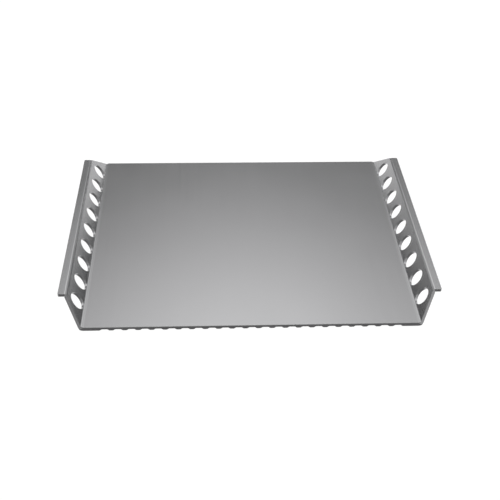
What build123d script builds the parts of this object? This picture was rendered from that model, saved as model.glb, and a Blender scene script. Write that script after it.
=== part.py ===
from build123d import *
from math import cos, radians, sin, tan
import os

# A baking tray for baguettes, in millimetres. +X runs across the tray, +Y towards its back and +Z up.
# The origin is under the middle of the tray, on the surface that it stands on.

# The bed: a flat plate, ribbed on its underside from front to back.
bed_width = 324.0  # between the two lines where the walls' inner faces would meet the bed
depth = 303.0
bed_thickness = 3.8
edge_round = 0.4
groove_count = 23
groove_pitch = 12.7
groove_depth = 1.4
rib_tip_width = 3.6
rib_root_width = 7.2
rib_round = 1.8

# The side walls lean outwards and end in a level lip.
wall_height = 20.0
wall_lean = 36.0  # degrees from upright
wall_thickness = 3.0
lip_width = 8.4
inner_bend_radius = 1.5
outer_bend_radius = 7.0
lip_bend_radius = 4.0  # on the top; the underside's is smaller by the wall's thickness
lip_edge_round = 0.8
lip_corner_round = 1.5
end_setback = 26.0  # how far the top of a wall stops short of the bed's front and back edges
end_cut_start = -1.6  # up the wall's slope, where the sloping cut at each end of a wall starts

# The row of round air holes in each wall.
hole_count = 9
hole_pitch = 30.0
hole_radius = 9.0
hole_rise = 9.3  # up the wall's slope, from the line where the wall would meet the bed
hole_edge_break = 0.15

# The bed's long edges are grooved, and each rail's tongue slides into its groove from the end.
seam_inset = 3.0  # from the line where the wall would meet the bed
tongue_length = 8.0
tongue_neck = 1.2
tongue_tip = 1.8
tongue_clearance = 0.05

# Blind pins, pressed in from below, lock each tongue.
pin_count = 5
pin_pitch = 60.0
pin_radius = 1.5
pin_recess = 0.2
pin_cover = 0.5  # of the bed left over a pin
pin_chamfer = 0.3

# Worked out from the sizes above.
lean = radians(wall_lean)
half_depth = depth / 2
half_bed = bed_width / 2
seam_x = half_bed - seam_inset
mid_height = bed_thickness / 2
rim_height = bed_thickness + wall_height
rim_x = half_bed + wall_height * tan(lean)
lip_tip_x = rim_x + lip_width
lip_under = rim_height - wall_thickness
outer_face_shift = wall_thickness / cos(lean)
lip_root_x = rim_x + outer_face_shift - wall_thickness * tan(lean)
heel_x = half_bed + outer_face_shift - bed_thickness * tan(lean)
top_end_y = half_depth - end_setback
wall_slope = wall_height / cos(lean)
wall_plane = Plane(
    origin=(half_bed, 0, bed_thickness),
    x_dir=(0, 1, 0),
    z_dir=(cos(lean), 0, -sin(lean)),
)
pin_x = seam_x - tongue_length / 2
pin_top = bed_thickness - pin_cover
overrun = 6.0  # how far a cut runs past the metal
closeness = 0.01  # for picking a corner or face by its place or radius


def tongue_outline(side, clearance):
    """The corners of the dovetail tongue on one side of the bed, grown by a clearance."""
    neck = tongue_neck / 2 + clearance
    tip = tongue_tip / 2 + clearance
    root_x = side * seam_x
    tip_x = side * (seam_x - tongue_length - clearance)
    return [
        (root_x, mid_height - neck),
        (root_x, mid_height + neck),
        (tip_x, mid_height + tip),
        (tip_x, mid_height - tip),
    ]


# Bed plate: one extruded section with the underside's grooves and a slot in each long edge.
with BuildPart() as bed_plate:
    with BuildSketch(Plane.XZ) as bed_section:
        with Locations((0, mid_height)):
            Rectangle(2 * seam_x, bed_thickness)
        with GridLocations(groove_pitch, 0, groove_count, 1):
            Polygon(
                (-(groove_pitch - rib_tip_width) / 2, 0),
                ((groove_pitch - rib_tip_width) / 2, 0),
                ((groove_pitch - rib_root_width) / 2, groove_depth),
                (-(groove_pitch - rib_root_width) / 2, groove_depth),
                mode=Mode.SUBTRACT,
            )
        ends = bed_section.vertices().group_by(Axis.X)
        groove_corners = bed_section.vertices().filter_by(lambda v: v.Y < mid_height) - ends[0] - ends[-1]
        fillet(groove_corners, rib_round)
        for side in (1, -1):
            Polygon(*tongue_outline(side, tongue_clearance), mode=Mode.SUBTRACT)
    extrude(amount=half_depth, both=True)
    with BuildSketch(Plane.XY):
        with GridLocations(2 * pin_x, pin_pitch, 2, pin_count):
            Circle(pin_radius)
    extrude(amount=pin_top, mode=Mode.SUBTRACT)
    top_ends = bed_plate.faces().sort_by(Axis.Z)[-1].edges().filter_by(Axis.X)
    fillet(top_ends, edge_round)

# Right-hand rail: foot, leaning wall and level lip in one extruded section.
with BuildPart() as right_side_rail:
    with BuildSketch(Plane.XZ) as rail_section:
        with BuildLine():
            Polyline(
                (seam_x, 0),
                (heel_x, 0),
                (lip_root_x, lip_under),
                (lip_tip_x, lip_under),
                (lip_tip_x, rim_height),
                (rim_x, rim_height),
                (half_bed, bed_thickness),
                (seam_x, bed_thickness),
                close=True,
            )
        make_face()
        fillet(rail_section.vertices().sort_by_distance((half_bed, bed_thickness))[0], inner_bend_radius)
        fillet(rail_section.vertices().sort_by_distance((heel_x, 0))[0], outer_bend_radius)
        fillet(rail_section.vertices().sort_by_distance((rim_x, rim_height))[0], lip_bend_radius)
        under_radius = lip_bend_radius - wall_thickness
        fillet(rail_section.vertices().sort_by_distance((lip_root_x, lip_under))[0], under_radius)
        fillet(rail_section.vertices().group_by(Axis.X)[-1], lip_edge_round)
        Polygon(*tongue_outline(1, 0))
    extrude(amount=half_depth, both=True)
    # Each end of the wall slopes back from the bed to the top, cut square to the wall.
    with BuildSketch(wall_plane):
        for side in (1, -1):
            Polygon(
                (side * half_depth, end_cut_start),
                (side * top_end_y, wall_slope),
                (side * top_end_y, wall_slope + overrun),
                (side * (half_depth + overrun), wall_slope + overrun),
                (side * (half_depth + overrun), end_cut_start),
            )
    extrude(amount=wall_thickness + lip_width, both=True, mode=Mode.SUBTRACT)
    # The lip ends square, with its outer corners rounded.
    with BuildSketch(Plane.XY.offset(lip_under - under_radius)):
        with Locations((lip_root_x, 0)):
            Rectangle(2 * lip_width, depth + overrun, align=(Align.MIN, Align.CENTER))
        with BuildSketch(mode=Mode.SUBTRACT) as lip_plan:
            with Locations((lip_tip_x, 0)):
                Rectangle(2 * lip_width, 2 * top_end_y, align=(Align.MAX, Align.CENTER))
            fillet(lip_plan.vertices().group_by(Axis.X)[-1], lip_corner_round)
    extrude(amount=rim_height, mode=Mode.SUBTRACT)
    # Air holes, square to the wall.
    with BuildSketch(wall_plane):
        with Locations((0, hole_rise)):
            with GridLocations(hole_pitch, 0, hole_count, 1):
                Circle(hole_radius)
    extrude(amount=overrun, both=True, mode=Mode.SUBTRACT)
    round_faces = right_side_rail.faces().filter_by(GeomType.CYLINDER)
    hole_walls = round_faces.filter_by(lambda face: abs(face.radius - hole_radius) < closeness)
    chamfer(hole_walls.edges().filter_by(GeomType.LINE, reverse=True), hole_edge_break)
    # Holes for the lock pins, through the tongue.
    with BuildSketch(Plane.XY):
        with Locations((pin_x, 0)):
            with GridLocations(0, pin_pitch, 1, pin_count):
                Circle(pin_radius)
    extrude(amount=bed_thickness, mode=Mode.SUBTRACT)

with BuildPart() as left_side_rail:
    mirror(right_side_rail.part, about=Plane.YZ)

# Lock pins, a row in each foot.
with BuildPart() as right_lock_pins:
    with BuildSketch(Plane.XY.offset(pin_recess)):
        with Locations((pin_x, 0)):
            with GridLocations(0, pin_pitch, 1, pin_count):
                Circle(pin_radius)
    extrude(amount=pin_top - pin_recess)
    chamfer(right_lock_pins.edges().group_by(Axis.Z)[0], pin_chamfer)

with BuildPart() as left_lock_pins:
    mirror(right_lock_pins.part, about=Plane.YZ)

pieces = {
    "bed_plate": bed_plate,
    "left_side_rail": left_side_rail,
    "right_side_rail": right_side_rail,
    "left_lock_pins": left_lock_pins,
    "right_lock_pins": right_lock_pins,
}
os.makedirs("parts", exist_ok=True)
for name, piece in pieces.items():
    piece.part.label = name
    export_step(piece.part, f"parts/{name}.step")
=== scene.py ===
from math import cos, radians, sin

import bpy
from mathutils import Matrix, Vector

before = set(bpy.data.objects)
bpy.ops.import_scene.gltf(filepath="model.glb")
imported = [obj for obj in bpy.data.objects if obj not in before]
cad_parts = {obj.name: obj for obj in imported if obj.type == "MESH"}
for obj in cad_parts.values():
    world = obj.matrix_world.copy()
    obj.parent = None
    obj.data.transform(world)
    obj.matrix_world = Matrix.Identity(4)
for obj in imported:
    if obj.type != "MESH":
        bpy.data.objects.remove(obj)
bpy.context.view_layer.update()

scene = bpy.context.scene
scene.view_settings.view_transform = "Standard"
scene.view_settings.look = "None"

# Camera: in front of the tray, a little left of its middle and looking down. Lengths in metres, angles in radians.
CAMERA_PLACE = Vector((-0.0407, -0.8083, 0.5701))
CAMERA_YAW = 0.0562  # from +Y towards +X
CAMERA_PITCH = 0.6283  # down from level
CAMERA_ROLL = 0.0217
CAMERA_LENS = 65.64  # in millimetres, as is the sensor
CAMERA_SENSOR = 36.0
CAMERA_REACH = 20.0


def add_camera():
    data = bpy.data.cameras.new("camera")
    data.sensor_width = CAMERA_SENSOR
    data.lens = CAMERA_LENS
    data.clip_end = CAMERA_REACH
    camera = bpy.data.objects.new("camera", data)
    scene.collection.objects.link(camera)
    level = Vector((sin(CAMERA_YAW), cos(CAMERA_YAW), 0))
    side = Vector((cos(CAMERA_YAW), -sin(CAMERA_YAW), 0))
    up = Vector((0, 0, 1))
    look = cos(CAMERA_PITCH) * level - sin(CAMERA_PITCH) * up
    top = sin(CAMERA_PITCH) * level + cos(CAMERA_PITCH) * up
    right = cos(CAMERA_ROLL) * side + sin(CAMERA_ROLL) * top
    top = cos(CAMERA_ROLL) * top - sin(CAMERA_ROLL) * side
    turn = Matrix((right, top, -look)).transposed().to_4x4()
    camera.matrix_world = Matrix.Translation(CAMERA_PLACE) @ turn
    scene.camera = camera


add_camera()


def new_material(name):
    material = bpy.data.materials.new(name)
    material.use_nodes = True
    tree = material.node_tree
    return material, tree, tree.nodes["Principled BSDF"]


def noise(tree, coords, stretch, scale, detail):
    """Noise over the object's own coordinates, in metres, drawn out along an axis whose factor is small."""
    mapping = tree.nodes.new("ShaderNodeMapping")
    mapping.inputs["Scale"].default_value = stretch
    tree.links.new(coords, mapping.inputs["Vector"])
    node = tree.nodes.new("ShaderNodeTexNoise")
    node.inputs["Scale"].default_value = scale
    node.inputs["Detail"].default_value = detail
    tree.links.new(mapping.outputs["Vector"], node.inputs["Vector"])
    return node.outputs["Fac"]


NOISE_LOW = 0.3  # noise stays mostly between these two
NOISE_HIGH = 0.7


def spread(tree, source, middle, reach):
    """Noise spread evenly to both sides of a middle value."""
    node = tree.nodes.new("ShaderNodeMapRange")
    node.inputs["From Min"].default_value = NOISE_LOW
    node.inputs["From Max"].default_value = NOISE_HIGH
    node.inputs["To Min"].default_value = middle - reach
    node.inputs["To Max"].default_value = middle + reach
    tree.links.new(source, node.inputs["Value"])
    return node.outputs["Result"]


def combine(tree, operation, a, b):
    node = tree.nodes.new("ShaderNodeMath")
    node.operation = operation
    tree.links.new(a, node.inputs[0])
    tree.links.new(b, node.inputs[1])
    return node.outputs[0]


# Noise scales, in features per metre: streaks about 4 mm wide, patches of about 70 mm and a 0.4 mm grain.
EVEN = (1, 1, 1)
STREAK_SCALE = 260.0
PATCH_SCALE = 14.0
GRAIN_SCALE = 2600.0
COARSE_DETAIL = 3.0
GRAIN_DETAIL = 2.0
# How far the patches and the grain change the tone, and the patches and the streaks the roughness.
PATCH_TONE = 0.01
GRAIN_TONE = 0.008
PATCH_ROUGHNESS = 0.008
STREAK_TO_ROUGHNESS = 0.3
GRAIN_STRENGTH = 0.5


def satin_aluminium(name, color, roughness, stretch, streak, grain_height):
    """Etched and anodised aluminium: faint streaks, patches left by handling, and a fine grain."""
    material, tree, shader = new_material(name)
    nodes, links = tree.nodes, tree.links
    coords = nodes.new("ShaderNodeTexCoord").outputs["Object"]
    streaks = noise(tree, coords, stretch, STREAK_SCALE, COARSE_DETAIL)
    patches = noise(tree, coords, EVEN, PATCH_SCALE, COARSE_DETAIL)
    grain = noise(tree, coords, EVEN, GRAIN_SCALE, GRAIN_DETAIL)

    tone = combine(tree, "MULTIPLY", spread(tree, streaks, 1, streak), spread(tree, patches, 1, PATCH_TONE))
    tone = combine(tree, "MULTIPLY", tone, spread(tree, grain, 1, GRAIN_TONE))
    tint = nodes.new("ShaderNodeVectorMath")
    tint.operation = "SCALE"
    tint.inputs[0].default_value = color
    links.new(tone, tint.inputs["Scale"])
    links.new(tint.outputs["Vector"], shader.inputs["Base Color"])

    rough = combine(
        tree,
        "ADD",
        spread(tree, patches, roughness, PATCH_ROUGHNESS),
        spread(tree, streaks, 0, STREAK_TO_ROUGHNESS * streak),
    )
    links.new(rough, shader.inputs["Roughness"])

    bump = nodes.new("ShaderNodeBump")
    bump.inputs["Strength"].default_value = GRAIN_STRENGTH
    bump.inputs["Distance"].default_value = grain_height
    links.new(grain, bump.inputs["Height"])
    links.new(bump.outputs["Normal"], shader.inputs["Normal"])
    shader.inputs["Metallic"].default_value = 1.0
    return material


# Colour, roughness, direction and strength of the streaks, and height of the grain in metres.
ALONG_Y = (1, 0.02, 1)
ALONG_Z = (1, 1, 0.1)
BED = satin_aluminium("bed_satin_aluminium", (0.495, 0.495, 0.502), 0.26, ALONG_Y, 0.01, 1.5e-6)
RAIL = satin_aluminium("rail_satin_aluminium", (0.54, 0.54, 0.548), 0.26, ALONG_Y, 0.02, 1.5e-6)
PIN = satin_aluminium("pin_turned_aluminium", (0.58, 0.58, 0.585), 0.32, ALONG_Z, 0.05, 8e-6)
MATERIALS = {
    "bed_plate": BED,
    "left_side_rail": RAIL,
    "right_side_rail": RAIL,
    "left_lock_pins": PIN,
    "right_lock_pins": PIN,
}

for name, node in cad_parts.items():
    node.data.materials.clear()
    node.data.materials.append(MATERIALS[name])

# The studio: a grey tent, brightest high behind the tray, over a pale floor that falls off towards the camera.
SKY = 0.02
FLOOR_BACK = 0.96
FLOOR_FRONT = 0.18
FLOOR_FALLOFF = (-0.2, 0.4)  # the direction's Y where the floor is darkest, and where it is brightest
HORIZON = 0.02  # half the height, in the direction's Z, over which the floor turns into the tent
# Each glow: azimuth from +Y towards +X, elevation and reach, all in degrees, and its radiance at the middle.
GLOWS = (
    (2.0, 43.0, 12.0, 0.88),
    (2.0, 50.0, 22.0, 0.41),
    (0.0, 42.0, 40.0, 0.06),
    (22.0, 47.0, 18.0, 0.37),
    (-22.0, 47.0, 18.0, 0.31),
    (52.0, 38.0, 30.0, 0.8),
    (-50.0, 38.0, 30.0, 0.6),
    (27.0, 23.0, 18.0, 0.1),
    (-26.0, 24.0, 18.0, 0.12),
    (23.5, 3.0, 10.0, 1.7),
    (-25.0, 3.0, 10.0, 2.1),
    (78.0, 20.0, 24.0, 0.95),
    (-78.0, 20.0, 24.0, 0.95),
    (118.0, 16.0, 30.0, 0.5),
    (-118.0, 16.0, 30.0, 0.3),
    (0.0, 90.0, 45.0, 0.6),
    (180.0, 30.0, 60.0, 0.45),
)
FLOOR_GLOWS = (
    (90.0, -40.0, 45.0, 0.6),
    (-90.0, -40.0, 45.0, 0.4),
)


def add_world():
    world = bpy.data.worlds.new("studio")
    scene.world = world
    world.use_nodes = True
    tree = world.node_tree
    nodes, links = tree.nodes, tree.links
    direction = nodes.new("ShaderNodeTexCoord").outputs["Generated"]
    split = nodes.new("ShaderNodeSeparateXYZ")
    links.new(direction, split.inputs[0])

    def ramp(source, low, high, to_low, to_high):
        node = nodes.new("ShaderNodeMapRange")
        node.interpolation_type = "SMOOTHSTEP"
        node.inputs["From Min"].default_value = low
        node.inputs["From Max"].default_value = high
        node.inputs["To Min"].default_value = to_low
        node.inputs["To Max"].default_value = to_high
        links.new(source, node.inputs["Value"])
        return node.outputs["Result"]

    def glow(azimuth, elevation, reach, radiance):
        az, el = radians(azimuth), radians(elevation)
        near = nodes.new("ShaderNodeVectorMath")
        near.operation = "DOT_PRODUCT"
        near.inputs[1].default_value = (sin(az) * cos(el), cos(az) * cos(el), sin(el))
        links.new(direction, near.inputs[0])
        return ramp(near.outputs["Value"], cos(radians(reach)), 1.0, 0.0, radiance)

    def add(a, b):
        """The sum of two strengths, of which the first may be a plain number."""
        node = nodes.new("ShaderNodeMath")
        if isinstance(a, float):
            node.inputs[0].default_value = a
        else:
            links.new(a, node.inputs[0])
        links.new(b, node.inputs[1])
        return node.outputs[0]

    def mix(factor, a, b):
        node = nodes.new("ShaderNodeMix")
        links.new(factor, node.inputs[0])
        links.new(a, node.inputs[2])
        links.new(b, node.inputs[3])
        return node.outputs[0]

    sky = SKY
    for light in GLOWS:
        sky = add(sky, glow(*light))
    ground = ramp(split.outputs["Y"], *FLOOR_FALLOFF, FLOOR_FRONT, FLOOR_BACK)
    for light in FLOOR_GLOWS:
        ground = add(ground, glow(*light))
    above = ramp(split.outputs["Z"], -HORIZON, HORIZON, 0.0, 1.0)
    links.new(mix(above, ground, sky), nodes["Background"].inputs["Strength"])
    nodes["Background"].inputs["Color"].default_value = (1, 1, 1, 1)


add_world()

PALE_BASE = (0.1, 0.1, 0.1, 1)
PALE_GLOW = 0.97
PALE_ROUGHNESS = 0.9
FLOOR_SIZE = 12
FLOOR_DROP = 0.0002  # below the rib tips, so that no two faces share a plane
BACKDROP_RADIUS = 8


def pale_material(name, one_sided):
    """A pale surface with a glow of its own, open to a view from behind if it is one-sided."""
    material, tree, shader = new_material(name)
    shader.inputs["Base Color"].default_value = PALE_BASE
    shader.inputs["Roughness"].default_value = PALE_ROUGHNESS
    shader.inputs["Emission Color"].default_value = (1, 1, 1, 1)
    shader.inputs["Emission Strength"].default_value = PALE_GLOW
    if one_sided:
        nodes, links = tree.nodes, tree.links
        side = nodes.new("ShaderNodeNewGeometry")
        clear = nodes.new("ShaderNodeBsdfTransparent")
        choice = nodes.new("ShaderNodeMixShader")
        links.new(side.outputs["Backfacing"], choice.inputs[0])
        links.new(shader.outputs[0], choice.inputs[1])
        links.new(clear.outputs[0], choice.inputs[2])
        links.new(choice.outputs[0], nodes["Material Output"].inputs["Surface"])
    return material


def stage_piece(name, material):
    """The camera sees the floor and the backdrop, but the metal reflects only the studio's own light."""
    piece = bpy.context.object
    piece.name = name
    piece.data.materials.append(material)
    piece.visible_glossy = False
    return piece


bpy.ops.mesh.primitive_plane_add(size=FLOOR_SIZE, location=(0, 0, -FLOOR_DROP))
stage_piece("floor", pale_material("floor", True))
bpy.ops.mesh.primitive_uv_sphere_add(radius=BACKDROP_RADIUS, segments=48, ring_count=24)
backdrop = stage_piece("backdrop", pale_material("backdrop", False))
backdrop.visible_shadow = False
backdrop.visible_diffuse = False
backdrop.visible_transmission = False
